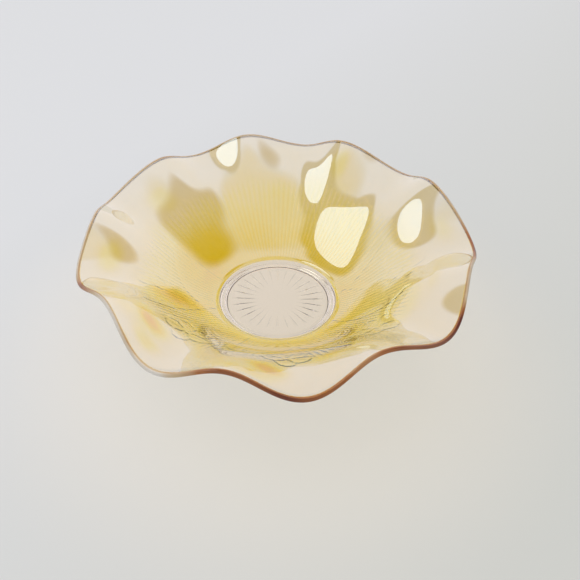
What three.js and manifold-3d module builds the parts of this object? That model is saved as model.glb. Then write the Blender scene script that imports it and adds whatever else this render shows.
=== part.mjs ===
// A pressed-glass fruit bowl with a hand-crimped, ruffled rim and a fired lustre
// film on its inside. Millimetres, +Z up. The origin is the centre of the foot
// ring, on the surface that the bowl stands on.

import * as THREE from "three";
import { mergeVertices } from "three/addons/utils/BufferGeometryUtils.js";
import Module from "manifold-3d";

// ------------------------------------------------------------------ sizes

// Disc and foot.
const discRadius = 46.6; // the clear, rayed disc; the lustre starts here
const discThickness = 4.5;
const footInset = 1.1; // how far inside the disc's edge the foot ring stands
const footWidth = 3.5; // width of the ring's flat underside
const footHeight = 3.5; // how far the disc is held off the table
const footDraft = 1; // how far the ring's sides lean out of the mould

// Moulded rays under the disc.
const rayCount = 28;
const rayInner = 14; // the plain centre
const rayMargin = 3.5; // from the rays' outer ends to the foot ring
const rayWidth = 5.4; // at the outer end
const rayDepth = 0.9;

// Wall.
const rimRadius = 146; // mean radius of the rim's outer edge
const rimHeight = 66.7; // mean height of the rim
const wallAtFoot = 4.2; // thickness of the wall beside the disc
const wallAtRim = 3.2;
const wallRise = THREE.MathUtils.degToRad(15); // slope where the wall leaves the disc
const rimFlare = THREE.MathUtils.degToRad(14); // slope where it reaches the rim
const risePull = 0.31; // how long each end keeps its slope, against the wall's span
const flarePull = 0.44;

// Ruffle.
const ruffleStart = 0.35; // how far up the wall the crimping begins, from 0 to 1
const ruffleDroop = 8; // how far a lobe droops below the rim's mean height
const ruffleSpread = 3.8; // how far the same lobe stands outside the mean radius

// The crimps were made by hand, so no two are alike. Each row is one crimp, in
// order round the rim from +X: where its lobe and the crest after it stand, in
// degrees, then how far that lobe droops and that crest lifts, against the sizes above.
const crimps = [
  { lobe: 3, crest: 28, droop: 1.1, lift: 1.05 },
  { lobe: 46, crest: 67, droop: 1.05, lift: 0.85 },
  { lobe: 82, crest: 102, droop: 0.9, lift: 0.9 },
  { lobe: 119, crest: 136, droop: 1, lift: 0.8 },
  { lobe: 157, crest: 174, droop: 0.55, lift: 1.15 },
  { lobe: 192, crest: 215, droop: 1.2, lift: 1.2 },
  { lobe: 237, crest: 257, droop: 1.05, lift: 0.75 },
  { lobe: 277, crest: 298, droop: 1.05, lift: 1.2 },
  { lobe: 322, crest: 343, droop: 0.9, lift: 0.85 },
];

// Lustre film, drawn far thicker than the real one and let into the wall.
const filmThickness = 0.4;
const filmGap = 0.3; // clearance between the film and the glass
const filmLip = 1.5; // plain glass left between the film and the rim's round

// How finely the curves are divided.
const turnSteps = 90;
const wallSteps = 12;
const rimSteps = 4;

// ---------------------------------------------------------------- colours

const glassColour = "#efe4c8";
const lustreColour = "#ddbb55";

// ------------------------------------------------------------ the section

const rimRound = wallAtRim / 2;
const discTop = footHeight + discThickness;
const ringOutside = discRadius - footInset;
const ringInside = ringOutside - footWidth;
const rayOuter = ringInside - footDraft - rayMargin;

/** A step of some length along a slope, as radius and height. */
function along(slope, length) {
  return new THREE.Vector2(Math.cos(slope), Math.sin(slope)).multiplyScalar(length);
}

/** The finished inside of the wall, from the edge of the disc to the rim. */
const inside = (() => {
  const start = new THREE.Vector2(discRadius, discTop);
  const end = new THREE.Vector2(rimRadius - rimRound, rimHeight);
  const span = start.distanceTo(end);
  return new THREE.CubicBezierCurve(
    start,
    start.clone().add(along(wallRise, span * risePull)),
    end.clone().sub(along(rimFlare, span * flarePull)),
    end,
  );
})();

/** The unit direction out of the wall's underside at a station from 0 to 1. */
function outwards(station) {
  const run = inside.getTangent(station);
  return new THREE.Vector2(run.y, -run.x);
}

/** A point of the section, some depth into the wall from its finished inside. */
function inWall(station, depth) {
  const point = inside.getPoint(station).addScaledVector(outwards(station), depth);
  return { point, station };
}

/** The wall's thickness, which tapers from the disc to the rim. */
function wallAt(station) {
  return THREE.MathUtils.lerp(wallAtFoot, wallAtRim, station);
}

/** Evenly spaced stations between two, both included. */
function stations(from, to, steps) {
  return Array.from({ length: steps + 1 }, (_, i) => THREE.MathUtils.lerp(from, to, i / steps));
}

/** The rim's round, from just past the underside to just short of the inside. */
function rimArc() {
  const centre = inWall(1, rimRound).point;
  const down = outwards(1).multiplyScalar(rimRound);
  const on = inside.getTangent(1).multiplyScalar(rimRound);
  return Array.from({ length: rimSteps }, (_, i) => {
    const turn = (Math.PI * (i + 1)) / (rimSteps + 1);
    const point = centre.clone();
    point.addScaledVector(down, Math.cos(turn)).addScaledVector(on, Math.sin(turn));
    return { point, station: 1 };
  });
}

/** A point of the foot or the disc, which the ruffle doesn't reach. */
function level(radius, height) {
  return { point: new THREE.Vector2(radius, height), station: 0 };
}

const wallSpan = inside.getLength();
const filmStart = filmGap / wallSpan;
const filmEnd = 1 - filmLip / wallSpan;

/** The glass, from the middle of its underside round the rim to the middle of the disc. */
function glassSection() {
  const seat = filmThickness + filmGap;
  const shoulder = inWall(0, wallAtFoot);
  return [
    level(0, footHeight),
    level(ringInside - footDraft, footHeight),
    level(ringInside, 0),
    level(ringOutside, 0),
    level(ringOutside + footDraft, shoulder.point.y),
    ...stations(0, 1, wallSteps).map((station) => inWall(station, wallAt(station))),
    ...rimArc(),
    inWall(1, 0),
    inWall(filmEnd + filmGap / wallSpan, 0),
    ...stations(0, filmEnd + filmGap / wallSpan, wallSteps).reverse().map((station) => inWall(station, seat)),
    inWall(0, 0),
    level(0, discTop),
  ];
}

/**
 * The film: up along its open face, then down its face against the glass. That is
 * the way the glass runs there, so the two split their facets alike and stay apart.
 */
function filmSection() {
  const open = stations(filmStart, filmEnd, wallSteps).map((station) => inWall(station, 0));
  const seated = stations(filmStart, filmEnd, wallSteps).map((station) => inWall(station, filmThickness));
  return [...open, ...seated.reverse(), open[0]];
}

// -------------------------------------------------------------- the ruffle

/** The crests and lobes in order round the rim: 1 is a full lobe, -1 a full crest. */
const swings = crimps.flatMap(({ lobe, crest, droop, lift }) => [
  { at: THREE.MathUtils.degToRad(lobe), swing: droop },
  { at: THREE.MathUtils.degToRad(crest), swing: -lift },
]);

/** How far the rim swings at an angle, eased from each lobe to the next crest. */
function swingAt(angle) {
  const turn = 2 * Math.PI;
  const place = THREE.MathUtils.euclideanModulo(angle - swings[0].at, turn) + swings[0].at;
  const next = swings.findIndex(({ at }) => at > place);
  const last = next < 0 ? swings.length - 1 : next - 1;
  const from = swings[last];
  const to = swings[(last + 1) % swings.length];
  const gap = THREE.MathUtils.euclideanModulo(to.at - from.at, turn);
  const share = (1 - Math.cos((Math.PI * (place - from.at)) / gap)) / 2;
  return THREE.MathUtils.lerp(from.swing, to.swing, share);
}

/** How much of the ruffle a station of the wall takes. */
function ruffleShare(station) {
  const climb = Math.max(0, (station - ruffleStart) / (1 - ruffleStart));
  return climb * climb;
}

/** Turns a section round the axis and ruffles it. */
function turned(section) {
  const lathe = new THREE.LatheGeometry(section.map(({ point }) => point), turnSteps);
  lathe.rotateX(Math.PI / 2);
  const place = lathe.getAttribute("position");
  for (let i = 0; i < place.count; i += 1) {
    const { point, station } = section[i % section.length];
    const angle = Math.atan2(place.getY(i), place.getX(i));
    const swing = swingAt(angle) * ruffleShare(station);
    const radius = point.x + ruffleSpread * swing;
    place.setXYZ(i, radius * Math.cos(angle), radius * Math.sin(angle), point.y - ruffleDroop * swing);
  }
  lathe.computeVertexNormals();
  return lathe;
}

/** Turns every face of a geometry round. */
function turnedOut(geometry) {
  const corners = geometry.index.array;
  for (let i = 0; i < corners.length; i += 3) {
    [corners[i + 1], corners[i + 2]] = [corners[i + 2], corners[i + 1]];
  }
  geometry.computeVertexNormals();
  return geometry;
}

// --------------------------------------------------------------- the rays

const wasm = await Module();
wasm.setup();

/** A closed geometry as a solid that can be cut. */
function solidFrom(geometry) {
  const bare = geometry.index ? geometry.toNonIndexed() : geometry.clone();
  bare.deleteAttribute("normal");
  bare.deleteAttribute("uv");
  const merged = mergeVertices(bare, 1e-4);
  const mesh = new wasm.Mesh({
    numProp: 3,
    vertProperties: merged.getAttribute("position").array,
    triVerts: new Uint32Array(merged.index.array),
  });
  return new wasm.Manifold(mesh);
}

/** A solid back as a geometry. */
function geometryFrom(solid) {
  const { vertProperties, triVerts } = solid.getMesh();
  const geometry = new THREE.BufferGeometry();
  geometry.setAttribute("position", new THREE.BufferAttribute(vertProperties, 3));
  geometry.setIndex(new THREE.BufferAttribute(triVerts, 1));
  geometry.computeVertexNormals();
  return geometry;
}

/** One ray: a tapering groove in the recess under the disc, deepest at its outer end. */
function rayCutter(angle) {
  const sides = 4;
  const length = rayOuter - rayInner;
  const cutter = new THREE.ConeGeometry(1, length, sides);
  cutter.scale(rayWidth / 2, 1, rayDepth);
  cutter.rotateZ(Math.PI / 2);
  cutter.rotateX(Math.PI / 2);
  cutter.translate((rayInner + rayOuter) / 2, 0, footHeight);
  return cutter.rotateZ(angle);
}

/** The glass with its rays cut. */
function rayedGlass() {
  let glass = solidFrom(turned(glassSection()));
  for (let i = 0; i < rayCount; i += 1) {
    glass = glass.subtract(solidFrom(rayCutter((2 * Math.PI * i) / rayCount)));
  }
  return geometryFrom(glass);
}

// --------------------------------------------------------------- the parts

const glassBowl = new THREE.Mesh(
  rayedGlass(),
  new THREE.MeshStandardMaterial({
    color: glassColour,
    roughness: 0.04,
    metalness: 0,
    transparent: true,
    opacity: 0.35,
  }),
);
glassBowl.name = "glass_bowl";

const lustreFilm = new THREE.Mesh(
  turnedOut(turned(filmSection())),
  new THREE.MeshStandardMaterial({
    color: lustreColour,
    roughness: 0.12,
    metalness: 0.2,
    transparent: true,
    opacity: 0.6,
  }),
);
lustreFilm.name = "lustre_film";

const bowl = new THREE.Group();
bowl.name = "carnival_glass_bowl";
bowl.add(glassBowl, lustreFilm);

export default bowl;
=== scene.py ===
"""A ruffled carnival glass bowl: pressed soda-lime glass with a fired lustre film.

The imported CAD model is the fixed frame. Two detailed pieces replace its two nodes:
the pressed glass, with its flutes, blossoms, leaves and rays, and the film that the
lustre leaves on the inside of the wall. Everything is in metres, +Z up, with the
origin at the centre of the foot ring.
"""

import logging
import math
from dataclasses import dataclass, field, replace
from enum import IntEnum

import bmesh
import bpy
import numpy as np
from mathutils import Matrix, Vector


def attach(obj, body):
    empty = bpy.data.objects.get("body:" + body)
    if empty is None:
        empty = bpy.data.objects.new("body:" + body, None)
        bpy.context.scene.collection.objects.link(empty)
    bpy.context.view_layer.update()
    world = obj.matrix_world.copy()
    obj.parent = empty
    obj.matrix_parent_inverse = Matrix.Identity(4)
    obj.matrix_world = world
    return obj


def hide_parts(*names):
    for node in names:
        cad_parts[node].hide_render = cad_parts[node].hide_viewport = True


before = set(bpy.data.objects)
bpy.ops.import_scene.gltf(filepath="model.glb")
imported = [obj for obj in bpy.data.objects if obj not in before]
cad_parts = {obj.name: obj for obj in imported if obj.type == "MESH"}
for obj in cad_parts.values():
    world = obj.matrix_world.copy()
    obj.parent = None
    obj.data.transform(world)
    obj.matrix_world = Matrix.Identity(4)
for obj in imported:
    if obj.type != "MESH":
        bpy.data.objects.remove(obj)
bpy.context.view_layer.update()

LOG = logging.getLogger("bowl")
MM = 0.001
TURN = 2 * math.pi
BODY = "root"

# Where a Mix node keeps the two colours that it mixes, and the mixed one.
MIX_BELOW, MIX_ABOVE, MIXED = 6, 7, 2


# ------------------------------------------------------------------ helpers


def linear(hex_colour: str, alpha: float = 1.0) -> tuple[float, float, float, float]:
    """Turns an sRGB hex colour to linear light.

    Args:
        hex_colour: Six hex digits, with or without a leading #.
        alpha: The fourth value.

    Returns:
        Red, green, blue and alpha.
    """
    digits = hex_colour.lstrip("#")
    values = []
    for start in (0, 2, 4):
        c = int(digits[start : start + 2], 16) / 255
        values.append(c / 12.92 if c <= 0.04045 else ((c + 0.055) / 1.055) ** 2.4)
    return values[0], values[1], values[2], alpha


def add_node(
    tree: bpy.types.NodeTree,
    kind: str,
    settings: dict[str, object] | None = None,
    links: dict[str, bpy.types.NodeSocket] | None = None,
) -> bpy.types.Node:
    """Adds a node with its settings and links.

    Args:
        tree: The node tree that it joins.
        kind: The node's type name.
        settings: Values by name: an input socket's where there is one, else the node's.
        links: What feeds each input, by the input's name.

    Returns:
        The new node.
    """
    node = tree.nodes.new(kind)
    for name, value in (settings or {}).items():
        if name in node.inputs:
            node.inputs[name].default_value = value
        else:
            setattr(node, name, value)
    for name, source in (links or {}).items():
        tree.links.new(source, node.inputs[name])
    return node


def smooth_step(low: float, high: float, value: np.ndarray) -> np.ndarray:
    """Eases from 0 to 1.

    Args:
        low: Where it starts to rise.
        high: Where it reaches 1.
        value: The values to ease.

    Returns:
        The eased share of each value.
    """
    share = np.clip((value - low) / (high - low), 0.0, 1.0)
    return share * share * (3 - 2 * share)


def put_in_order(mesh_maker: bmesh.types.BMesh) -> None:
    """Sorts edges and faces by their points, as a spin's order varies between runs.

    Args:
        mesh_maker: The mesh just spun, in which no two faces share both their first
            and their last point.
    """
    mesh_maker.verts.index_update()
    count = len(mesh_maker.verts)
    for parts in (mesh_maker.edges, mesh_maker.faces):
        numbers = {part: [vert.index for vert in part.verts] for part in parts}
        parts.sort(key=lambda part: min(numbers[part]) * count + max(numbers[part]))


# ---------------------------------------------------------------- the shape


class Face(IntEnum):
    """Which surface of the glass a point of the section is on."""

    DISC_UNDER = 0
    FOOT = 1
    OUTSIDE = 2
    RIM = 3
    LIP = 4
    INSIDE = 5
    DISC_TOP = 6


@dataclass(frozen=True)
class SectionPoint:
    """A point of the section, before the bowl is crimped.

    Attributes:
        place: Radius and height.
        normal: The unit direction out of the glass, as radius and height.
        station: How far up the wall it is, from 0 at the disc to 1 at the rim.
        face: The surface that it is on. The lip is the last of the inside, at the rim.
    """

    place: tuple[float, float]
    normal: tuple[float, float]
    station: float
    face: Face


@dataclass(frozen=True)
class Section:
    """The bowl's section in radius and height, as it leaves the mould.

    Attributes:
        disc_radius: The clear, rayed disc's; the lustre starts at its edge.
        disc_thickness: Its thickness.
        foot_inset: How far inside the disc's edge the foot ring stands.
        foot_width: The ring's width.
        foot_height: How far the disc is held off the table.
        foot_draft: How far the ring's sides lean out of the mould.
        foot_round: The radius of its lower corners.
        foot_fillet: The fillet inside the ring, as points: how far each is from the
            ring and below the recess, then the normal's two parts.
        rim_radius: The mean radius of the rim's outer edge.
        rim_height: The rim's mean height.
        wall_at_foot: The wall's thickness beside the disc.
        wall_at_rim: Its thickness at the rim.
        wall_rise: The slope where the wall leaves the disc.
        rim_flare: The slope where it reaches the rim.
        rise_pull: How long the lower end keeps its slope, against the wall's span.
        flare_pull: The same for the upper end.
        arc_steps: Steps for measuring lengths along the wall.
    """

    disc_radius: float = 46.6 * MM
    disc_thickness: float = 4.5 * MM
    foot_inset: float = 1.1 * MM
    foot_width: float = 3.5 * MM
    foot_height: float = 3.5 * MM
    foot_draft: float = 1.0 * MM
    foot_round: float = 1.6 * MM
    foot_fillet: tuple[tuple[float, float, float, float], ...] = (
        (2.24 * MM, 0.0, 0.0, -1.0),
        (1.12 * MM, 0.176 * MM, 0.3, -0.95),
        (0.352 * MM, 0.704 * MM, 0.6, -0.8),
    )
    rim_radius: float = 145.75 * MM
    rim_height: float = 66.55 * MM
    wall_at_foot: float = 4.2 * MM
    wall_at_rim: float = 3.2 * MM
    wall_rise: float = math.radians(15)
    rim_flare: float = math.radians(14)
    rise_pull: float = 0.31
    flare_pull: float = 0.44
    arc_steps: int = 400

    @property
    def disc_top(self) -> float:
        """The height of the disc's upper face."""
        return self.foot_height + self.disc_thickness

    @property
    def ring_outside(self) -> float:
        """The foot ring's outer radius, on the table."""
        return self.disc_radius - self.foot_inset

    @property
    def ring_inside(self) -> float:
        """The foot ring's inner radius, on the table."""
        return self.ring_outside - self.foot_width

    def controls(self) -> np.ndarray:
        """The four control points of the curve up the inside of the wall."""
        start = np.array([self.disc_radius, self.disc_top])
        end = np.array([self.rim_radius - self.wall_at_rim / 2, self.rim_height])
        span = np.linalg.norm(end - start)
        rise = np.array([math.cos(self.wall_rise), math.sin(self.wall_rise)])
        flare = np.array([math.cos(self.rim_flare), math.sin(self.rim_flare)])
        low = start + rise * span * self.rise_pull
        high = end - flare * span * self.flare_pull
        return np.array([start, low, high, end])

    def inside(self, station: np.ndarray) -> np.ndarray:
        """Points on the inside of the wall.

        Args:
            station: Stations from 0 at the disc to 1 at the rim.

        Returns:
            An array with a radius and a height for each station.
        """
        t = np.asarray(station, float)[..., None]
        a, b, c, d = self.controls()
        return (1 - t) ** 3 * a + 3 * (1 - t) ** 2 * t * b + 3 * (1 - t) * t**2 * c + t**3 * d

    def outward(self, station: np.ndarray) -> np.ndarray:
        """Directions out of the wall's underside.

        Args:
            station: Stations from 0 at the disc to 1 at the rim.

        Returns:
            An array with a unit direction, as radius and height, for each station.
        """
        t = np.asarray(station, float)[..., None]
        a, b, c, d = self.controls()
        run = (1 - t) ** 2 * (b - a) + 2 * (1 - t) * t * (c - b) + t**2 * (d - c)
        run /= np.linalg.norm(run, axis=-1, keepdims=True)
        return np.stack([run[..., 1], -run[..., 0]], axis=-1)

    def arc(self, station: np.ndarray) -> np.ndarray:
        """How far each station is from the disc's edge, along the wall.

        Args:
            station: Stations from 0 at the disc to 1 at the rim.

        Returns:
            The length of wall below each station.
        """
        steps = np.linspace(0, 1, self.arc_steps)
        lengths = np.linalg.norm(np.diff(self.inside(steps), axis=0), axis=1)
        return np.interp(station, steps, np.concatenate([[0.0], np.cumsum(lengths)]))

    def station_at(self, arc: float) -> float:
        """The station that is some way along the wall from the disc's edge."""
        steps = np.linspace(0, 1, self.arc_steps)
        return float(np.interp(arc, self.arc(steps), steps))

    def wall_point(self, station: float, face: Face) -> SectionPoint:
        """A point of the wall's inside or outside.

        Args:
            station: How far up the wall.
            face: Face.INSIDE or Face.OUTSIDE.

        Returns:
            The point.
        """
        place = self.inside(np.array(station))
        out = self.outward(np.array(station))
        if face is Face.INSIDE:
            return SectionPoint(tuple(place), tuple(-out), station, face)
        depth = self.wall_at_foot + (self.wall_at_rim - self.wall_at_foot) * station
        return SectionPoint(tuple(place + out * depth), tuple(out), station, face)

    def rim_points(self, steps: int) -> list[SectionPoint]:
        """The rim's round, from the outside of the wall to its inside.

        Args:
            steps: How many points the round has between its ends.

        Returns:
            The points, with the ends left out.
        """
        half = self.wall_at_rim / 2
        out = self.outward(np.array(1.0))
        on = np.array([-out[1], out[0]])
        centre = self.inside(np.array(1.0)) + out * half
        points = []
        for step in range(1, steps + 1):
            turn = math.pi * step / (steps + 1)
            normal = out * math.cos(turn) + on * math.sin(turn)
            points.append(SectionPoint(tuple(centre + normal * half), tuple(normal), 1.0, Face.RIM))
        return points

    def foot_points(self, rounds: int) -> list[SectionPoint]:
        """The foot ring, from the recess under the disc to the shoulder of the wall.

        Args:
            rounds: How many points each rounded lower corner has.

        Returns:
            The points.
        """
        shoulder = self.wall_point(0.0, Face.OUTSIDE).place[1]
        r = self.foot_round
        corner = self.ring_inside - self.foot_draft
        rows = [(corner - back, self.foot_height - down, nx, nz) for back, down, nx, nz in self.foot_fillet]
        for side, radius in ((-1, self.ring_inside), (1, self.ring_outside)):
            turns = [math.pi / 2 * step / (rounds - 1) for step in range(rounds)]
            for turn in turns if side < 0 else reversed(turns):
                out, down = math.cos(turn), math.sin(turn)
                rows.append((radius - side * r * (1 - out), r * (1 - down), side * out, -down))
        rows.append((self.ring_outside + self.foot_draft, shoulder, 1.0, 0.0))
        return [SectionPoint((x, z), (nx, nz), 0.0, Face.FOOT) for x, z, nx, nz in rows]


@dataclass(frozen=True)
class Crimp:
    """One hand-made crimp of the rim.

    Attributes:
        lobe: Where its lobe points, in degrees round the rim from +X.
        crest: Where the crest after it stands, in degrees.
        droop: How far the lobe droops, against the ruffle's own droop.
        lift: How far the crest lifts, against the same.
    """

    lobe: float
    crest: float
    droop: float
    lift: float


@dataclass(frozen=True)
class Ruffle:
    """The crimping that turns the round rim into nine uneven lobes.

    Attributes:
        start: How far up the wall the crimping begins, from 0 to 1.
        droop: How far a lobe droops below the rim's mean height.
        spread: How far the same lobe stands outside the mean radius.
        crimps: The crimps in order round the rim. They were made by hand, so no two
            are alike.
    """

    start: float = 0.35
    droop: float = 8.0 * MM
    spread: float = 3.8 * MM
    crimps: tuple[Crimp, ...] = (
        Crimp(3, 28, 1.1, 1.05),
        Crimp(46, 67, 1.05, 0.85),
        Crimp(82, 102, 0.9, 0.9),
        Crimp(119, 136, 1.0, 0.8),
        Crimp(157, 174, 0.55, 1.15),
        Crimp(192, 215, 1.2, 1.2),
        Crimp(237, 257, 1.05, 0.75),
        Crimp(277, 298, 1.05, 1.2),
        Crimp(322, 343, 0.9, 0.85),
    )

    def swing(self, angle: np.ndarray) -> np.ndarray:
        """How far the rim swings at each angle: 1 is a full lobe and -1 a full crest.

        Args:
            angle: Angles round the rim from +X, in radians.

        Returns:
            The swing at each angle, eased from each lobe to the next crest.
        """
        places = [math.radians(a) for crimp in self.crimps for a in (crimp.lobe, crimp.crest)]
        swings = [s for crimp in self.crimps for s in (crimp.droop, -crimp.lift)]
        knots = np.array([*places, places[0] + TURN])
        values = np.array([*swings, swings[0]])
        place = np.mod(angle - knots[0], TURN) + knots[0]
        last = np.clip(np.searchsorted(knots, place, side="right") - 1, 0, len(places) - 1)
        share = (place - knots[last]) / (knots[last + 1] - knots[last])
        eased = (1 - np.cos(math.pi * share)) / 2
        return values[last] + (values[last + 1] - values[last]) * eased

    def share(self, station: np.ndarray) -> np.ndarray:
        """How much of the ruffle each station of the wall takes."""
        return np.clip((station - self.start) / (1 - self.start), 0, 1) ** 2


# --------------------------------------------------------- the mould's relief


@dataclass(frozen=True)
class Chart:
    """Where the points of the wall lie on its surface, for laying out the relief.

    Attributes:
        angle: Angle round the bowl from +X, in radians.
        arc: Distance up the wall from the disc's edge.
        radius: Distance from the bowl's axis.
    """

    angle: np.ndarray
    arc: np.ndarray
    radius: np.ndarray

    def across(self, angle: float) -> np.ndarray:
        """How far each point is from a line straight up the wall, round the bowl."""
        return (np.mod(self.angle - angle + math.pi, TURN) - math.pi) * self.radius


@dataclass(frozen=True)
class Flutes:
    """The fine ribs that run straight up the lower wall.

    Attributes:
        count: How many there are round the bowl.
        depth: How far a rib stands proud, and a groove is sunk.
        first: Where they start, up the wall from the disc's edge.
        last: Where they end.
        fade: How gently they run out at the top, and half as gently at the bottom.
    """

    count: int = 144
    depth: float = 0.11 * MM
    first: float = 2.5 * MM
    last: float = 70.0 * MM
    fade: float = 5.0 * MM

    def height(self, chart: Chart) -> np.ndarray:
        """The height of the ribs.

        Args:
            chart: Where the points of the wall are.

        Returns:
            The height at each point.
        """
        fade_in = smooth_step(self.first - self.fade / 2, self.first + self.fade / 2, chart.arc)
        fade_out = 1 - smooth_step(self.last - self.fade, self.last + self.fade, chart.arc)
        return self.depth * np.cos(self.count * chart.angle) * fade_in * fade_out


@dataclass(frozen=True)
class Blossom:
    """A simple open flower in low relief, with its petals edged by a raised line.

    Attributes:
        angle: Where its centre is, in degrees round the bowl.
        arc: How far up the wall its centre is.
        size: The length of a petal.
        turn: How far it is turned, in degrees.
        petals: How many petals it has.
        edge: How high the line round a petal stands.
        cup: How high a petal rises towards its edge.
        ridge: How wide the raised lines are.
        slim: Half a petal's width, against its length.
        middle: How far out a petal's middle is, against its length.
        half: Half a petal's length, against the whole.
        frill: How deep the waves of its edge are.
        waves: How many waves there are round a petal.
        eye: The radius of the flower's eye, against a petal's length.
    """

    angle: float
    arc: float
    size: float
    turn: float
    petals: int = 5
    edge: float = 0.22 * MM
    cup: float = 0.16 * MM
    ridge: float = 0.9 * MM
    slim: float = 0.42
    middle: float = 0.56
    half: float = 0.46
    frill: float = 0.05
    waves: int = 7
    eye: float = 0.15

    def height(self, chart: Chart) -> tuple[np.ndarray, np.ndarray]:
        """The shape of the flower.

        Args:
            chart: Where the points of the wall are.

        Returns:
            Its height, and how far it covers the ribs, at each point.
        """
        x = chart.across(math.radians(self.angle))
        y = chart.arc - self.arc
        height = np.zeros_like(x)
        cover = np.zeros_like(x)
        for petal in range(self.petals):
            way = math.radians(self.turn) + TURN * petal / self.petals
            along = (x * math.cos(way) + y * math.sin(way)) / self.size
            side = (-x * math.sin(way) + y * math.cos(way)) / (self.slim * self.size)
            frill = self.frill * np.sin(self.waves * np.arctan2(side, along - 0.5))
            reach = np.hypot((along - self.middle) / self.half, side) + frill
            inside = 1 - smooth_step(0.85, 1.0, reach)
            line = np.exp(-(((reach - 0.88) * 0.44 * self.size / self.ridge) ** 2))
            vein = np.exp(-((side * self.slim * self.size / self.ridge) ** 2)) * inside
            vein *= smooth_step(0.1, 0.5, along)
            petal_height = self.edge * line + self.cup * inside * reach**2 + 0.5 * self.edge * vein
            height = np.maximum(height, petal_height)
            cover = np.maximum(cover, 1 - smooth_step(0.95, 1.1, reach))
        eye = np.exp(-((np.hypot(x, y) / (self.eye * self.size)) ** 2))
        return np.maximum(height, self.edge * 1.2 * eye), cover


@dataclass(frozen=True)
class Blade:
    """A long narrow leaf in low relief, which leans as it climbs the wall.

    Attributes:
        foot: Where it starts, in degrees round the bowl.
        tip: Where it ends, in degrees.
        low: How far up the wall it starts.
        high: How far up the wall it ends.
        width: Its full width at its widest.
        bend: How far it bows to the side, in degrees.
        edge: How high the line round it stands.
        swell: How high its face stands.
        ridge: How wide the raised lines are.
        stem: How wide it is at its foot, against its width.
        spread: How fast it widens from there.
        point: Half its width at the tip.
    """

    foot: float
    tip: float
    low: float
    high: float
    width: float
    bend: float = 0.0
    edge: float = 0.24 * MM
    swell: float = 0.12 * MM
    ridge: float = 0.9 * MM
    stem: float = 0.35
    spread: float = 1.3
    point: float = 0.25 * MM

    def height(self, chart: Chart) -> tuple[np.ndarray, np.ndarray]:
        """The shape of the leaf.

        Args:
            chart: Where the points of the wall are.

        Returns:
            Its height, and how far it covers the ribs, at each point.
        """
        share = (chart.arc - self.low) / (self.high - self.low)
        held = np.clip(share, 0, 1)
        middle = self.foot + (self.tip - self.foot) * held + self.bend * 4 * held * (1 - held)
        turned = np.mod(chart.angle - np.radians(middle) + math.pi, TURN) - math.pi
        taper = (self.stem + self.spread * held) * np.sqrt(np.clip(1 - held, 0.0, 1))
        half = 0.5 * self.width * taper + self.point
        side = turned * chart.radius / half
        ends = smooth_step(-0.03, 0.02, share) * (1 - smooth_step(0.98, 1.03, share))
        inside = (1 - smooth_step(0.9, 1.05, np.abs(side))) * ends
        line = np.exp(-(((np.abs(side) - 0.9) * half / self.ridge) ** 2)) * ends
        vein = np.exp(-((side * half / self.ridge) ** 2)) * inside
        height = self.edge * line + self.swell * inside + 0.45 * self.edge * vein
        return height, (1 - smooth_step(0.95, 1.15, np.abs(side))) * ends


@dataclass(frozen=True)
class Rays:
    """The rays moulded under the disc: tapering grooves that run out at the foot ring.

    Attributes:
        count: How many there are.
        inner: The radius of the plain centre.
        margin: From the rays' outer ends to the foot ring.
        width: How wide each would be at its outer end.
        depth: How deep it would be there.
        run_out: The length over which it fades before that end.
    """

    count: int = 28
    inner: float = 14.0 * MM
    margin: float = 3.5 * MM
    width: float = 3.8 * MM
    depth: float = 0.5 * MM
    run_out: float = 3.0 * MM

    def height(self, angle: np.ndarray, radius: np.ndarray, outer: float) -> np.ndarray:
        """How deep the grooves go at each point under the disc.

        Args:
            angle: Angle round the bowl from +X, in radians.
            radius: Distance from the bowl's axis.
            outer: Where the rays end.

        Returns:
            The depth at each point.
        """
        step = TURN / self.count
        turned = np.mod(angle + step / 2, step) - step / 2
        share = np.clip((radius - self.inner) / (outer - self.inner), 0, 1)
        half = np.maximum(self.width / 2 * share, 1e-6)
        groove = np.clip(1 - np.abs(turned * radius) / half, 0, 1)
        end = 1 - smooth_step(outer - self.run_out, outer, radius)
        return self.depth * share * groove * end


@dataclass(frozen=True)
class Mould:
    """Everything that the mould presses into the glass.

    Attributes:
        flutes: The ribs.
        rays: The rays under the disc.
        repeats: How many times the flowers and leaves repeat round the bowl.
    """

    flutes: Flutes = Flutes()
    rays: Rays = Rays()
    repeats: int = 4

    def blossoms(self) -> list[Blossom]:
        """The flowers: an open one and a smaller one in each quarter."""
        flowers = []
        for quarter in range(self.repeats):
            start = 360 / self.repeats * quarter
            flowers.append(Blossom(start + 4, 60 * MM, 18 * MM, 100))
            flowers.append(Blossom(start + 48, 57 * MM, 19 * MM, 75))
        return flowers

    def blades(self) -> list[Blade]:
        """The leaves: long ones that cross, and short ones between them."""
        leaves = []
        for quarter in range(self.repeats):
            start = 360 / self.repeats * quarter
            leaves.append(Blade(start + 14, start - 20, 3 * MM, 50 * MM, 9 * MM, bend=5))
            leaves.append(Blade(start + 10, start + 27, 2 * MM, 74 * MM, 10 * MM, bend=4))
            leaves.append(Blade(start + 62, start + 74, 3 * MM, 62 * MM, 9 * MM, bend=-4))
        return leaves

    def wall_height(self, chart: Chart) -> np.ndarray:
        """The height of the whole relief on the outside of the wall.

        Args:
            chart: Where the points of the wall are.

        Returns:
            The height at each point.
        """
        height = np.zeros_like(chart.arc)
        cover = np.zeros_like(chart.arc)
        for motif in [*self.blades(), *self.blossoms()]:
            own, hides = motif.height(chart)
            height = np.maximum(height * (1 - hides), own)
            cover = np.maximum(cover, hides)
        return height + self.flutes.height(chart) * (1 - cover)


# ------------------------------------------------------------- the two pieces


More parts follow.
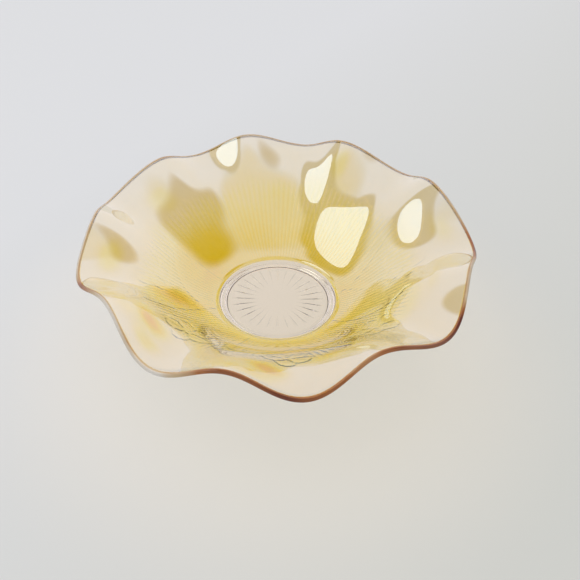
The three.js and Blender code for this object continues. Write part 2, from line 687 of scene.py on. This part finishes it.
@dataclass(frozen=True)
class Fineness:
    """How finely the glass and the film are divided, alike where they meet.

    Attributes:
        slice: Steps round the bowl in the slice that is spun.
        doublings: How many times the slice is doubled to go all the way round, which
            makes five steps to each rib.
        lip_rows: How far down the inside its first rows are, from the rim.
        inside: Steps up the rest of the inside.
        relief: Steps up the part of the outside that has relief.
        border: Steps up the plain border outside.
        rim: Points in the rim's round.
        rays: Steps along the rays.
        foot: Points in each rounded corner of the foot ring.
    """

    slice: int = 45
    doublings: int = 4
    lip_rows: tuple[float, ...] = (0.0, 0.8 * MM)
    inside: int = 26
    relief: int = 67
    border: int = 4
    rim: int = 6
    rays: int = 8
    foot: int = 5


@dataclass
class Pressing:
    """The shape that both pieces share: the section, the crimping and the relief.

    Attributes:
        section: The bowl's section.
        ruffle: The crimping of its rim.
        mould: The relief.
        fineness: How finely it is all divided.
        relief_top: How far up the wall the fine rows go, past the top of the relief.
    """

    section: Section = field(default_factory=Section)
    ruffle: Ruffle = field(default_factory=Ruffle)
    mould: Mould = field(default_factory=Mould)
    fineness: Fineness = field(default_factory=Fineness)
    relief_top: float = 82 * MM

    def inside_points(self) -> list[SectionPoint]:
        """The inside of the wall from the rim down to the disc's edge."""
        top = float(self.section.arc(np.array(1.0)))
        below_lip = np.linspace(top - 2 * self.fineness.lip_rows[-1], 0, self.fineness.inside + 1)
        points = []
        for arc in [*(top - back for back in self.fineness.lip_rows), *below_lip]:
            points.append(self.section.wall_point(self.section.station_at(arc), Face.INSIDE))
        lip = len(self.fineness.lip_rows)
        return [*(replace(point, face=Face.LIP) for point in points[:lip]), *points[lip:]]

    def outside_points(self) -> list[SectionPoint]:
        """The outside of the wall from the foot up to the rim."""
        top = self.section.station_at(self.relief_top)
        fine = np.linspace(0, self.relief_top, self.fineness.relief + 1)
        low = [self.section.station_at(arc) for arc in fine]
        high = np.linspace(top, 1, self.fineness.border + 1)[1:]
        stations = [*low, *(float(s) for s in high)]
        return [self.section.wall_point(s, Face.OUTSIDE) for s in stations]

    def spun(
        self, name: str, points: list[SectionPoint], offsets: list[float], closed: bool
    ) -> bpy.types.Object:
        """Spins a section into a body, then presses and crimps it.

        Args:
            name: The new object's name.
            points: The section in order.
            offsets: How far each point stands off the glass, along its normal.
            closed: Whether the section's last point joins its first.

        Returns:
            The new object.
        """
        mesh_maker = bmesh.new()
        layers = mesh_maker.verts.layers
        station = layers.float.new("station")
        face = layers.int.new("face")
        normal = layers.float_vector.new("section_normal")
        standing = layers.float.new("standing")
        corners = []
        for point, offset in zip(points, offsets):
            place = Vector((point.place[0], 0, point.place[1]))
            out = Vector((point.normal[0], 0, point.normal[1]))
            corner = mesh_maker.verts.new(place + out * offset)
            corner[station] = point.station
            corner[face] = int(point.face)
            corner[normal] = out
            corner[standing] = offset
            corners.append(corner)
        pairs = list(zip(corners, corners[1:]))
        if closed:
            pairs.append((corners[-1], corners[0]))
        edges = [mesh_maker.edges.new(pair) for pair in pairs]
        slice_turn = TURN / 2**self.fineness.doublings
        bmesh.ops.spin(
            mesh_maker,
            geom=[*corners, *edges],
            cent=(0, 0, 0),
            axis=(0, 0, 1),
            angle=slice_turn,
            steps=self.fineness.slice,
            use_merge=False,
        )
        put_in_order(mesh_maker)
        for doubling in range(self.fineness.doublings):
            whole = [*mesh_maker.verts, *mesh_maker.edges, *mesh_maker.faces]
            copy = bmesh.ops.duplicate(mesh_maker, geom=whole)
            turned = [part for part in copy["geom"] if isinstance(part, bmesh.types.BMVert)]
            turn = Matrix.Rotation(slice_turn * 2**doubling, 3, "Z")
            bmesh.ops.rotate(mesh_maker, verts=turned, cent=(0, 0, 0), matrix=turn)
        bmesh.ops.remove_doubles(mesh_maker, verts=mesh_maker.verts, dist=1e-6)
        bmesh.ops.recalc_face_normals(mesh_maker, faces=mesh_maker.faces)
        mesh = bpy.data.meshes.new(name)
        mesh_maker.to_mesh(mesh)
        mesh_maker.free()
        self.shape(mesh)
        mesh.polygons.foreach_set("use_smooth", np.ones(len(mesh.polygons), bool))
        piece = bpy.data.objects.new(name, mesh)
        bpy.context.scene.collection.objects.link(piece)
        return piece

    def shape(self, mesh: bpy.types.Mesh) -> None:
        """Presses the relief into a spun mesh and crimps its rim.

        Args:
            mesh: A mesh with the station, face and section_normal of each point.
        """
        count = len(mesh.vertices)
        place = np.empty(count * 3)
        mesh.vertices.foreach_get("co", place)
        place = place.reshape(-1, 3)
        station = np.empty(count)
        mesh.attributes["station"].data.foreach_get("value", station)
        face = np.empty(count, int)
        mesh.attributes["face"].data.foreach_get("value", face)
        normal = np.empty(count * 3)
        mesh.attributes["section_normal"].data.foreach_get("vector", normal)
        normal = normal.reshape(-1, 3)
        angle = np.arctan2(place[:, 1], place[:, 0])
        radius = np.hypot(place[:, 0], place[:, 1])
        height = place[:, 2].copy()

        wall = face == Face.OUTSIDE
        base = self.section.inside(station[wall])
        chart = Chart(angle[wall], self.section.arc(station[wall]), base[:, 0])
        relief = self.mould.wall_height(chart)
        out = self.section.outward(station[wall])
        radius[wall] += out[:, 0] * relief
        height[wall] += out[:, 1] * relief

        under = face == Face.DISC_UNDER
        outer = self.section.ring_inside - self.section.foot_draft - self.mould.rays.margin
        height[under] += self.mould.rays.height(angle[under], radius[under], outer)

        swing = self.ruffle.swing(angle) * self.ruffle.share(station)
        radius += self.ruffle.spread * swing
        height -= self.ruffle.droop * swing
        shaped = np.stack([radius * np.cos(angle), radius * np.sin(angle), height], axis=-1)
        mesh.vertices.foreach_set("co", shaped.ravel())
        mesh.update()


@dataclass
class GlassBowl:
    """The bowl itself: one gather of pressed, crimped and fire-polished glass.

    Attributes:
        pressing: Its shape.
        end_step: From the last fine row of the rays to their outer end, and on past it.
        top_shares: The radii of the rows on top of the disc, against the disc's own.
        node: The CAD node that it replaces.
        slot: The material slot that it would take; it is not used.
    """

    pressing: Pressing
    end_step: float = 0.4 * MM
    top_shares: tuple[float, ...] = (0.985, 0.95, 0.75, 0.5, 0.25, 0.0)
    node: str = "glass_bowl"
    slot: str = "pressed_glass"

    def under_points(self) -> list[SectionPoint]:
        """The recess under the disc, from its middle to the foot ring."""
        section, rays = self.pressing.section, self.pressing.mould.rays
        outer = section.ring_inside - section.foot_draft - rays.margin
        along = np.linspace(rays.inner, outer - self.end_step, self.pressing.fineness.rays)
        radii = [0.0, rays.inner / 2, *(float(r) for r in along), outer, outer + self.end_step]
        return [SectionPoint((r, section.foot_height), (0, -1), 0.0, Face.DISC_UNDER) for r in radii]

    def top_points(self) -> list[SectionPoint]:
        """The disc's upper face, from its edge to its middle."""
        section = self.pressing.section
        return [
            SectionPoint((section.disc_radius * share, section.disc_top), (0, 1), 0.0, Face.DISC_TOP)
            for share in self.top_shares
        ]

    def build(self, finish: "PressedGlass") -> bpy.types.Object:
        """Makes the glass and dresses it.

        Args:
            finish: The glass's finish.

        Returns:
            The piece, riding on the bowl's body in place of its CAD node.
        """
        pressing = self.pressing
        points = [
            *self.under_points(),
            *pressing.section.foot_points(pressing.fineness.foot),
            *pressing.outside_points(),
            *pressing.section.rim_points(pressing.fineness.rim),
            *pressing.inside_points(),
            *self.top_points(),
        ]
        piece = pressing.spun("pressed_glass_bowl", points, [0.0] * len(points), closed=False)
        piece.data.materials.append(finish.material())
        return claim(piece, self.node)


@dataclass(frozen=True)
class Smudge:
    """A place where the lustre ran or pooled before it was fired.

    Attributes:
        angle: Where it is, in degrees round the bowl.
        arc: How far up the wall it is.
        round: How far it reaches round the bowl.
        up: How far it reaches up the wall.
        depth: How deep its colour is, from 0 for pale straw to 1 for burnt orange.
    """

    angle: float
    arc: float
    round: float
    up: float
    depth: float


@dataclass(frozen=True)
class LustreCoat:
    """How deep the sprayed lustre's colour is over the wall, from 0 to 1.

    Attributes:
        climb: Distances up the wall, each with its depth of colour.
        rim_tone_and_painted_shade: Angles round the rim, in degrees, each with its depth of colour. Round the
            rim the colour is partly the lustre's own, which gathers there, and partly painted shade, deepest
            at the front and front right and palest at the back and left.
        lip_depth: The depth where the rim's colour wraps onto the inside.
        lip_share: How much of that the lip takes, against the rim's own depth.
        fluting: How much deeper the colour is along the flutes.
        smudges: Where it ran or pooled.
    """

    climb: tuple[tuple[float, float], ...] = (
        (0.0, 0.68),
        (3 * MM, 0.72),
        (9 * MM, 0.73),
        (30 * MM, 0.62),
        (62 * MM, 0.46),
        (84 * MM, 0.18),
        (110 * MM, 0.08),
    )
    rim_tone_and_painted_shade: tuple[tuple[float, float], ...] = (
        *((0, 0.9), (12, 0.5), (30, 0.4), (90, 0.3), (150, 0.3), (190, 0.35), (199, 0.8), (210, 0.4)),
        *((240, 0.32), (254, 0.8), (272, 0.95), (290, 0.7), (312, 0.85), (328, 1.0), (334, 0.42), (350, 0.5)),
    )
    lip_depth: float = 0.66
    lip_share: float = 0.65
    fluting: float = 0.06
    smudges: tuple[Smudge, ...] = (
        Smudge(185, 94 * MM, 15 * MM, 10 * MM, 0.56),
        Smudge(223, 88 * MM, 17 * MM, 9 * MM, 0.96),
        Smudge(215, 101 * MM, 20 * MM, 10 * MM, 0.42),
        Smudge(229, 102 * MM, 14 * MM, 6 * MM, 0.6),
        Smudge(267, 92 * MM, 14 * MM, 10 * MM, 0.97),
        Smudge(292, 77 * MM, 20 * MM, 8 * MM, 0.86),
        Smudge(261, 106 * MM, 20 * MM, 6 * MM, 0.76),
        Smudge(272, 36 * MM, 62 * MM, 20 * MM, 0.83),
        Smudge(332, 66 * MM, 24 * MM, 16 * MM, 0.6),
        Smudge(199, 40 * MM, 14 * MM, 26 * MM, 0.9),
        Smudge(148, 26 * MM, 36 * MM, 22 * MM, 0.83),
        Smudge(146, 84 * MM, 14 * MM, 14 * MM, 0.5),
        Smudge(65, 94 * MM, 8 * MM, 16 * MM, 0.6),
        Smudge(12, 98 * MM, 16 * MM, 11 * MM, 0.4),
        Smudge(346, 88 * MM, 22 * MM, 5 * MM, 0.4),
    )

    def rim(self, angle: np.ndarray) -> np.ndarray:
        """The depth of colour at each angle round the rim, partly the lustre's own and partly painted shade.
        """
        angles, depths = zip(*self.rim_tone_and_painted_shade)
        return np.interp(np.degrees(angle), angles, depths, period=360)

    def depth(self, chart: Chart, flutes: Flutes) -> np.ndarray:
        """The depth of colour of the wall, with the flutes' lines in it.

        Args:
            chart: Where the points of the wall are.
            flutes: The flutes, over whose ribs the colour is made deeper and over whose grooves paler.

        Returns:
            The depth at each point.
        """
        arcs, depths = zip(*self.climb)
        depth = np.interp(chart.arc, arcs, depths)
        depth += self.fluting * flutes.height(chart) / flutes.depth
        for smudge in self.smudges:
            across = chart.across(math.radians(smudge.angle)) / smudge.round
            up = (chart.arc - smudge.arc) / smudge.up
            share = np.exp(-((across**2 + up**2) ** 1.5))
            depth = np.maximum(depth, depth + (smudge.depth - depth) * share)
        return depth


class Coat(IntEnum):
    """Which of the film's three materials a face has, in the order of its slots."""

    OPEN = 0
    SEATED = 1
    # The outside of the rim, dark partly from the lustre and partly from painted shade.
    RIM_TONE_AND_PAINTED_SHADE = 2


@dataclass
class LustreFilm:
    """The film of metal oxide that the lustre leaves on the inside of the wall.

    Attributes:
        pressing: The shape of the glass that it lies on.
        coat: How deep its colour is.
        clear: How far its lower face stands off the glass.
        thickness: How thick it is drawn.
        wrap: How far it goes round the rim, down the outside.
        node: The CAD node that it replaces.
        slot: The material slot that it would take; it is not used.
    """

    pressing: Pressing
    coat: LustreCoat = field(default_factory=LustreCoat)
    clear: float = 0.02 * MM
    thickness: float = 0.05 * MM
    wrap: float = 0.8 * MM
    node: str = "lustre_film"
    slot: str = "fired_lustre"

    def build(self, finish: "FiredLustre") -> bpy.types.Object:
        """Makes the film and dresses it.

        Args:
            finish: The lustre's finish.

        Returns:
            The piece, riding on the bowl's body in place of its CAD node.
        """
        section = self.pressing.section
        lowest = section.station_at(float(section.arc(np.array(1.0))) - self.wrap)
        points = [
            section.wall_point(lowest, Face.OUTSIDE),
            section.wall_point(1.0, Face.OUTSIDE),
            *section.rim_points(self.pressing.fineness.rim),
            *self.pressing.inside_points(),
        ]
        loop = [*points, *reversed(points)]
        lower = [self.clear] * len(points)
        upper = [self.clear + self.thickness] * len(points)
        piece = self.pressing.spun("lustre_film_sheet", loop, [*lower, *upper], closed=True)
        self.spray(piece.data)
        for material in (finish.open_face(), finish.seated_face(), finish.rim_face_with_painted_shade()):
            piece.data.materials.append(material)
        self.share_out(piece.data)
        return claim(piece, self.node)

    def share_out(self, mesh: bpy.types.Mesh) -> None:
        """Gives the faces on the glass and the faces round the rim their own materials.

        Args:
            mesh: The film's mesh, with the standing and the face of each point.
        """
        corners = np.empty(len(mesh.loops), int)
        mesh.loops.foreach_get("vertex_index", corners)
        starts = np.empty(len(mesh.polygons), int)
        mesh.polygons.foreach_get("loop_start", starts)
        standing = np.empty(len(mesh.vertices))
        mesh.attributes["standing"].data.foreach_get("value", standing)
        face = np.empty(len(mesh.vertices), int)
        mesh.attributes["face"].data.foreach_get("value", face)
        highest = np.maximum.reduceat(standing[corners], starts)
        innermost = np.maximum.reduceat(face[corners], starts)
        slots = np.where(innermost < Face.INSIDE, Coat.RIM_TONE_AND_PAINTED_SHADE, Coat.OPEN)
        slots[highest < self.clear + self.thickness / 2] = Coat.SEATED
        mesh.polygons.foreach_set("material_index", slots)

    def spray(self, mesh: bpy.types.Mesh) -> None:
        """Keeps the lustre's depth of colour on the mesh, as its lustre attribute.

        Args:
            mesh: The film's mesh, with the station and the face of each point.
        """
        count = len(mesh.vertices)
        place = np.empty(count * 3)
        mesh.vertices.foreach_get("co", place)
        place = place.reshape(-1, 3)
        station = np.empty(count)
        mesh.attributes["station"].data.foreach_get("value", station)
        face = np.empty(count, int)
        mesh.attributes["face"].data.foreach_get("value", face)
        section = self.pressing.section
        angle = np.arctan2(place[:, 1], place[:, 0])
        chart = Chart(angle, section.arc(station), section.inside(station)[:, 0])
        depth = self.coat.depth(chart, self.pressing.mould.flutes)
        # Round the rim the depth of colour is partly the lustre's own and partly painted shade.
        rim = face != Face.INSIDE
        depth[rim] = self.coat.rim(angle[rim])
        lip = face == Face.LIP
        depth[lip] += self.coat.lip_share * (self.coat.lip_depth - depth[lip])
        layer = mesh.attributes.new("lustre", "FLOAT", "POINT")
        layer.data.foreach_set("value", depth)


def claim(piece: bpy.types.Object, node: str) -> bpy.types.Object:
    """Puts a piece on the bowl's body in place of a CAD node.

    Args:
        piece: The finished piece.
        node: The CAD node that it stands for.

    Returns:
        The same piece.
    """
    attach(piece, BODY)
    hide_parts(node)
    return piece


# --------------------------------------------------------------- the finishes


@dataclass(frozen=True)
class PressedGlass:
    """Clear soda-lime glass, pressed and fire polished.

    Fire polishing melts the skin smooth, so it reads as wet and clear, with a faint
    straw tint where it is thick. It has soda lime's IOR of 1.52.

    Attributes:
        colour: The tint that light takes in passing through a face.
        ior: How strongly it bends light.
        roughness: How much its skin blurs what is seen through it.
    """

    colour: str = "#fff5e6"
    ior: float = 1.52
    roughness: float = 0.015

    def material(self) -> bpy.types.Material:
        """Builds the material."""
        material = bpy.data.materials.new("pressed soda-lime glass, fire polished")
        material.use_nodes = True
        tree = material.node_tree
        tree.nodes.clear()
        shader = add_node(
            tree,
            "ShaderNodeBsdfPrincipled",
            {
                "Base Color": linear(self.colour),
                "Roughness": self.roughness,
                "IOR": self.ior,
                "Transmission Weight": 1.0,
            },
        )
        add_node(tree, "ShaderNodeOutputMaterial", links={"Surface": shader.outputs["BSDF"]})
        return material


@dataclass(frozen=True)
class FiredLustre:
    """Marigold lustre: an iron oxide film sprayed on hot glass and fired.

    The oxide lets amber light through, and its thin, dense layer mirrors the rest, so
    the glass reads as gold against dark surroundings and as pearl against light ones.
    The colour deepens from pale straw to gold and burnt orange where the spray is thicker.

    Attributes:
        stops: Depths of colour, each with the colour that light has after one pass.
        rim_stops: The same for the outside of the rim.
        rim_transmission: How much light gets through the outside of the rim.
        mottle: How much the spray's unevenness adds to the depth of colour.
        mottle_size: The size of a patch of that unevenness.
        ior: How strongly the layer bends light, next to nothing so that it stays clear.
        roughness: How much it blurs what is seen through it.
        film_ior: The oxide's IOR, whose mirror is what the eye reads as lustre.
        film_nanometres: Its thickness, which gives that mirror a cool, pearly white.
    """

    stops: tuple[tuple[float, str], ...] = (
        (0.0, "#fffcec"),
        (0.3, "#fff7d0"),
        (0.55, "#fff5a2"),
        (0.8, "#ffe93c"),
        (1.0, "#fbcc30"),
    )
    rim_stops: tuple[tuple[float, str], ...] = (
        (0.3, "#f4f3ee"),
        (0.5, "#dcc6a0"),
        (0.72, "#b8763e"),
        (0.98, "#743420"),
    )
    rim_transmission: float = 0.25
    mottle: float = 0.07
    mottle_size: float = 30 * MM
    ior: float = 1.05
    roughness: float = 0.02
    film_ior: float = 2.0
    film_nanometres: float = 35.0

    def open_face(self) -> bpy.types.Material:
        """Builds the face that is open to the air, which has the mirror of the oxide."""
        mirror = {"Thin Film Thickness": self.film_nanometres, "Thin Film IOR": self.film_ior}
        return self.material("fired marigold lustre", self.stops, mirror)

    def seated_face(self) -> bpy.types.Material:
        """Builds the face that is fused to the glass, which mirrors nothing."""
        return self.material("fired marigold lustre, fused face", self.stops, {"IOR": 1.0, "Roughness": 0.0})

    def rim_face_with_painted_shade(self) -> bpy.types.Material:
        """Builds the outside of the rim, brown partly from the lustre's own colour and partly from painted
        shade, deepest at the front.
        """
        rim_settings = {"IOR": 1.5, "Roughness": 0.12, "Transmission Weight": self.rim_transmission}
        return self.material("fired marigold lustre, dark rim with painted shade", self.rim_stops, rim_settings)

    def material(
        self, name: str, stops: tuple[tuple[float, str], ...], settings: dict[str, object]
    ) -> bpy.types.Material:
        """Builds a material whose colour follows the spray's depth.

        Args:
            name: The material's name.
            stops: Depths of colour, each with its colour.
            settings: The shader's settings that are this face's own.

        Returns:
            The material.
        """
        material = bpy.data.materials.new(name)
        material.use_nodes = True
        tree = material.node_tree
        tree.nodes.clear()
        where = add_node(tree, "ShaderNodeTexCoord")
        depth = add_node(tree, "ShaderNodeAttribute", {"attribute_name": "lustre"})
        clouds = add_node(
            tree,
            "ShaderNodeTexNoise",
            {"Scale": 1 / self.mottle_size, "Detail": 3.0, "Roughness": 0.5},
            {"Vector": where.outputs["Object"]},
        )
        swing = add_node(
            tree,
            "ShaderNodeMapRange",
            {"From Min": 0.3, "From Max": 0.7, "To Min": -self.mottle, "To Max": self.mottle},
            {"Value": clouds.outputs["Fac"]},
        )
        uneven = add_node(tree, "ShaderNodeMath", {"operation": "ADD", "use_clamp": True})
        tree.links.new(depth.outputs["Fac"], uneven.inputs[0])
        tree.links.new(swing.outputs["Result"], uneven.inputs[1])
        ramp = add_node(tree, "ShaderNodeValToRGB", links={"Fac": uneven.outputs["Value"]})
        while len(ramp.color_ramp.elements) < len(stops):
            ramp.color_ramp.elements.new(0.5)
        for element, (place, colour) in zip(ramp.color_ramp.elements, stops):
            element.position = place
            element.color = linear(colour)
        basics = {"Roughness": self.roughness, "IOR": self.ior, "Transmission Weight": 1.0}
        shader = add_node(
            tree, "ShaderNodeBsdfPrincipled", {**basics, **settings}, {"Base Color": ramp.outputs["Color"]}
        )
        add_node(tree, "ShaderNodeOutputMaterial", links={"Surface": shader.outputs["BSDF"]})
        return material


@dataclass(frozen=True)
class OpalTable:
    """An opal acrylic table top that glows with painted light.

    It scatters light evenly and glows faintly. The glow is painted fill light that lifts the shade under the
    bowl, so nothing on it throws a hard shadow.

    Attributes:
        colour: The colour of its skin.
        glow: The painted fill light that it gives off, at either side of the middle.
        painted_falloff_way: Which way that painted light falls off, darker towards the front right.
        painted_falloff_reach: How far either way from the middle it goes on falling.
        painted_warm_pool: What a painted pool of warm light under the bowl adds, in linear light.
        painted_warm_pool_place: Where that painted pool of light is centred.
        painted_warm_pool_reach: How far from there the painted light is even, and where it ends.
        roughness: How matt its skin is.
        specular: How much its skin shines, against a polished one's 0.5.
    """

    colour: str = "#787878"
    glow: tuple[str, str] = ("#c4c7cb", "#b5b8b4")
    painted_falloff_way: tuple[float, float] = (0.8, -0.6)
    painted_falloff_reach: float = 0.25
    painted_warm_pool: tuple[float, float, float] = (0.085, 0.055, 0.02)
    painted_warm_pool_place: tuple[float, float] = (0.0, -0.04)
    painted_warm_pool_reach: tuple[float, float] = (0.12, 0.25)
    roughness: float = 0.85
    specular: float = 0.2

    def light(self, tree: bpy.types.NodeTree) -> bpy.types.NodeSocket:
        """Works out the painted light that the table gives off.

        Args:
            tree: The material's node tree.

        Returns:
            Its colour at each point, in linear light.
        """
        place = add_node(tree, "ShaderNodeTexCoord").outputs["Object"]
        # Painted falloff: the table's glow darkens towards its front right.
        along = add_node(tree, "ShaderNodeVectorMath", {"operation": "DOT_PRODUCT"})
        tree.links.new(place, along.inputs[0])
        along.inputs[1].default_value = (*self.painted_falloff_way, 0)
        span = {"From Min": -self.painted_falloff_reach, "From Max": self.painted_falloff_reach}
        fall = add_node(tree, "ShaderNodeMapRange", span, {"Value": along.outputs["Value"]})
        even = add_node(tree, "ShaderNodeMix", {"data_type": "RGBA"}, {"Factor": fall.outputs["Result"]})
        even.inputs[MIX_BELOW].default_value = linear(self.glow[0])
        even.inputs[MIX_ABOVE].default_value = linear(self.glow[1])
        # A painted pool of warm light on the table, under the bowl.
        away = add_node(tree, "ShaderNodeVectorMath", {"operation": "DISTANCE"})
        tree.links.new(place, away.inputs[0])
        away.inputs[1].default_value = (*self.painted_warm_pool_place, 0)
        near, far = self.painted_warm_pool_reach
        fading = {"From Min": near, "From Max": far, "To Min": 1.0, "To Max": 0.0}
        share = add_node(
            tree,
            "ShaderNodeMapRange",
            {"interpolation_type": "SMOOTHSTEP", **fading},
            {"Value": away.outputs["Value"]},
        )
        lit = add_node(tree, "ShaderNodeMix", {"data_type": "RGBA", "blend_type": "ADD"})
        tree.links.new(share.outputs["Result"], lit.inputs["Factor"])
        tree.links.new(even.outputs[MIXED], lit.inputs[MIX_BELOW])
        lit.inputs[MIX_ABOVE].default_value = (*self.painted_warm_pool, 1)
        return lit.outputs[MIXED]

    def material(self) -> bpy.types.Material:
        """Builds the material."""
        material = bpy.data.materials.new("opal acrylic, matt")
        material.use_nodes = True
        tree = material.node_tree
        tree.nodes.clear()
        # The emission is painted fill light, which lifts the shade under the bowl.
        shader = add_node(
            tree,
            "ShaderNodeBsdfPrincipled",
            {
                "Base Color": linear(self.colour),
                "Roughness": self.roughness,
                "Specular IOR Level": self.specular,
                "Emission Strength": 1.0,
            },
            {"Emission Color": self.light(tree)},
        )
        add_node(tree, "ShaderNodeOutputMaterial", links={"Surface": shader.outputs["BSDF"]})
        return material


# ----------------------------------------------------------------- the studio


@dataclass(frozen=True)
class Softbox:
    """A flat, even light with a rounded front, which faces the bowl.

    Attributes:
        name: The light's name.
        azimuth: Its direction, in degrees: 0 is beyond the bowl and 90 to the right.
        elevation: Its height above the table, in degrees.
        distance: How far it is from the bowl.
        width: Its width.
        height: Its height.
        radiance: How bright its face is, where 1 is white.
        colour: Its colour.
    """

    name: str
    azimuth: float
    elevation: float
    distance: float
    width: float
    height: float
    radiance: float
    colour: str = "#ffffff"

    def place(self) -> None:
        """Adds the light to the scene."""
        data = bpy.data.lights.new(self.name, "AREA")
        data.shape = "ELLIPSE"
        data.size = self.width
        data.size_y = self.height
        data.energy = self.radiance * math.pi * self.width * self.height
        data.color = linear(self.colour)[:3]
        turn, rise = math.radians(self.azimuth), math.radians(self.elevation)
        way = Vector((math.sin(turn) * math.cos(rise), math.cos(turn) * math.cos(rise), math.sin(rise)))
        light = bpy.data.objects.new(self.name, data)
        light.location = way * self.distance
        light.rotation_euler = way.to_track_quat("Z", "Y").to_euler()
        bpy.context.scene.collection.objects.link(light)


@dataclass(frozen=True)
class Glow:
    """A soft round area of the room, brighter or darker than what is round it.

    Attributes:
        azimuth: Its direction, in degrees: 0 is beyond the bowl and 90 to the right.
        elevation: Its height above the table, in degrees.
        reach: Its radius, in degrees.
        blur: How far its edge is spread either way, in degrees.
        radiance: How bright it is, where 1 is white.
        colour: Its colour.
    """

    azimuth: float
    elevation: float
    reach: float
    blur: float
    radiance: float
    colour: str = "#ffffff"

    def mix(
        self, tree: bpy.types.NodeTree, way: bpy.types.NodeSocket, behind: bpy.types.NodeSocket
    ) -> bpy.types.NodeSocket:
        """Mixes the glow over what is behind it.

        Args:
            tree: The room's node tree.
            way: The direction that is looked in.
            behind: The room's colour so far.

        Returns:
            The room's colour with the glow in it.
        """
        turn, rise = math.radians(self.azimuth), math.radians(self.elevation)
        middle = (math.sin(turn) * math.cos(rise), math.cos(turn) * math.cos(rise), math.sin(rise))
        near = add_node(tree, "ShaderNodeVectorMath", {"operation": "DOT_PRODUCT"})
        tree.links.new(way, near.inputs[0])
        near.inputs[1].default_value = middle
        share = add_node(
            tree,
            "ShaderNodeMapRange",
            {
                "interpolation_type": "SMOOTHSTEP",
                "From Min": math.cos(math.radians(self.reach + self.blur)),
                "From Max": math.cos(math.radians(self.reach - self.blur)),
            },
            {"Value": near.outputs["Value"]},
        )
        red, green, blue, _ = linear(self.colour)
        bright = (red * self.radiance, green * self.radiance, blue * self.radiance, 1)
        over = add_node(tree, "ShaderNodeMix", {"data_type": "RGBA"})
        tree.links.new(share.outputs["Result"], over.inputs["Factor"])
        tree.links.new(behind, over.inputs[MIX_BELOW])
        over.inputs[MIX_ABOVE].default_value = bright
        return over.outputs[MIXED]


@dataclass(frozen=True)
class Viewpoint:
    """The camera, aimed at the middle of the foot.

    Attributes:
        elevation: Its height above the table, in degrees.
        distance: How far it is from the bowl.
        lens: Its focal length, in millimetres.
        roll: How far it is turned about its own axis, in degrees.
        shift: Its lens shift, across and up.
        sensor: The width of its sensor, in millimetres.
        nearest: How near it still sees.
    """

    elevation: float = 42.93
    distance: float = 0.625
    lens: float = 47.97
    roll: float = 0.68
    shift: tuple[float, float] = (0.0215, 0.0247)
    sensor: float = 36.0
    nearest: float = 0.01

    def place(self) -> None:
        """Adds the camera to the scene and makes it the one that renders."""
        data = bpy.data.cameras.new("camera")
        data.lens = self.lens
        data.sensor_width = self.sensor
        data.shift_x, data.shift_y = self.shift
        data.clip_start = self.nearest
        camera = bpy.data.objects.new("camera", data)
        rise = math.radians(self.elevation)
        place = Matrix.Translation((0, -math.cos(rise) * self.distance, math.sin(rise) * self.distance))
        tilt = Matrix.Rotation(math.pi / 2 - rise, 4, "X")
        camera.matrix_world = place @ tilt @ Matrix.Rotation(math.radians(self.roll), 4, "Z")
        bpy.context.scene.collection.objects.link(camera)
        bpy.context.scene.camera = camera


@dataclass(frozen=True)
class Studio:
    """The table, the lights and the camera.

    Attributes:
        table_radius: The table's radius.
        table_sides: How many sides its round has.
        light_bounces: How many faces light may pass through, enough for the film and
            the glass one behind the other.
        surround: The room's colour.
        surround_radiance: How bright the room is, where 1 is white.
        view: The camera.
        glows: The room's brighter and darker areas, each over the one before it.
        softboxes: The lights.
    """

    table_radius: float = 4.0
    table_sides: int = 96
    light_bounces: int = 28
    surround: str = "#f4f4fb"
    surround_radiance: float = 0.85
    view: Viewpoint = Viewpoint()
    glows: tuple[Glow, ...] = (
        Glow(0, 38, 52, 7, 1.05, "#fbf6ff"),
        Glow(165, 56, 32, 9, 0.85, "#ffe8c8"),
        Glow(82, 44, 17, 6, 0.25, "#ffc060"),
        Glow(-73, 53, 20, 3, 0.3, "#ffdc90"),
        Glow(-106, 53, 20, 3, 0.3, "#ffdc90"),
    )
    softboxes: tuple[Softbox, ...] = (Softbox("window", -89.5, 53, 1.3, 1.14, 0.63, 1.25, "#fbffff"),)

    def build(self, finish: OpalTable) -> None:
        """Makes the table, the surroundings, the lights and the camera.

        Args:
            finish: The table's finish.
        """
        self.table(finish)
        self.room()
        scene = bpy.context.scene
        scene.view_settings.view_transform = "Standard"
        scene.cycles.max_bounces = self.light_bounces
        scene.cycles.transmission_bounces = self.light_bounces
        for softbox in self.softboxes:
            softbox.place()
        self.view.place()

    def table(self, finish: OpalTable) -> None:
        """Makes the table top, which the bowl stands on.

        Args:
            finish: Its finish.
        """
        maker = bmesh.new()
        bmesh.ops.create_circle(maker, cap_ends=True, segments=self.table_sides, radius=self.table_radius)
        mesh = bpy.data.meshes.new("table")
        maker.to_mesh(mesh)
        maker.free()
        mesh.materials.append(finish.material())
        table = bpy.data.objects.new("table", mesh)
        bpy.context.scene.collection.objects.link(table)

    def room(self) -> None:
        """Surrounds everything with the room that the lustre reflects."""
        world = bpy.data.worlds.new("room")
        world.use_nodes = True
        tree = world.node_tree
        tree.nodes.clear()
        way = add_node(tree, "ShaderNodeTexCoord").outputs["Generated"]
        base = add_node(tree, "ShaderNodeRGB")
        base.outputs[0].default_value = [c * self.surround_radiance for c in linear(self.surround)]
        colour = base.outputs[0]
        for glow in self.glows:
            colour = glow.mix(tree, way, colour)
        background = add_node(tree, "ShaderNodeBackground", links={"Color": colour})
        add_node(tree, "ShaderNodeOutputWorld", links={"Surface": background.outputs["Background"]})
        bpy.context.scene.world = world


def main() -> None:
    """Builds the studio and the two pieces."""
    logging.basicConfig(level=logging.INFO, format="%(name)s: %(message)s")
    Studio().build(OpalTable())
    LOG.info("studio: table, lights and camera")
    pressing = Pressing()
    for maker, finish in ((GlassBowl(pressing), PressedGlass()), (LustreFilm(pressing), FiredLustre())):
        piece = maker.build(finish)
        LOG.info("%s: %d faces", piece.name, len(piece.data.polygons))


if __name__ == "__main__":
    main()
